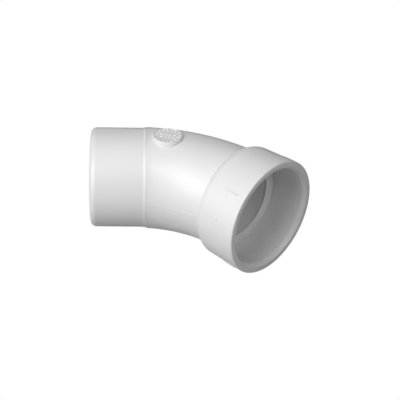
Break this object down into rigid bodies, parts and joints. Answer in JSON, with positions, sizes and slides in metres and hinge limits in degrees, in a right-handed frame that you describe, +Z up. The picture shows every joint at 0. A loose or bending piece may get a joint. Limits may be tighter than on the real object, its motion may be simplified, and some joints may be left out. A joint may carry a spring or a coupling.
{
  "type": "pvc street elbow",
  "caption": "White moulded plastic drain elbow, 45 degrees, with a pipe-size spigot at one end and a socket hub at the other.",
  "frame": {"origin": "centre of the spigot's round section, on its axis, where the pipe-size wall ends and the ramp to the shoulder begins", "axes": "-X along the spigot axis and out of its tip; the bend lies in the XY plane and turns 45 degrees towards -Y, so the hub's mouth faces between +X and -Y; +Z up, through the marking pad"},
  "size_m": [0.1054, 0.0792, 0.0572],
  "materials": {
    "white_pvc": "satin white moulded PVC",
    "white_pvc_hub": "satin white moulded PVC, smooth from the core inside",
    "white_pvc_socket": "smooth white moulded PVC inside the socket",
    "white_pvc_matt": "finely textured white PVC pad",
    "white_pvc_relief": "raised white PVC marks with soft edges",
    "white_pvc_flash": "thin trimmed flash line"
  },
  "bodies": {
    "root": {"spigot": "white_pvc", "shoulder_ramp": "white_pvc", "shoulder_band": "white_pvc", "bend": "white_pvc", "hub": "white_pvc_hub", "stop_ledge": "white_pvc_socket", "gate_pad": "white_pvc_matt", "pad_rim": "white_pvc_relief", "pad_marks": "white_pvc_relief", "parting_line_inner": "white_pvc_flash", "parting_line_outer": "white_pvc_flash", "hub_ticks": "white_pvc_relief", "hub_pip": "white_pvc_relief"}
  },
  "joints": []
}
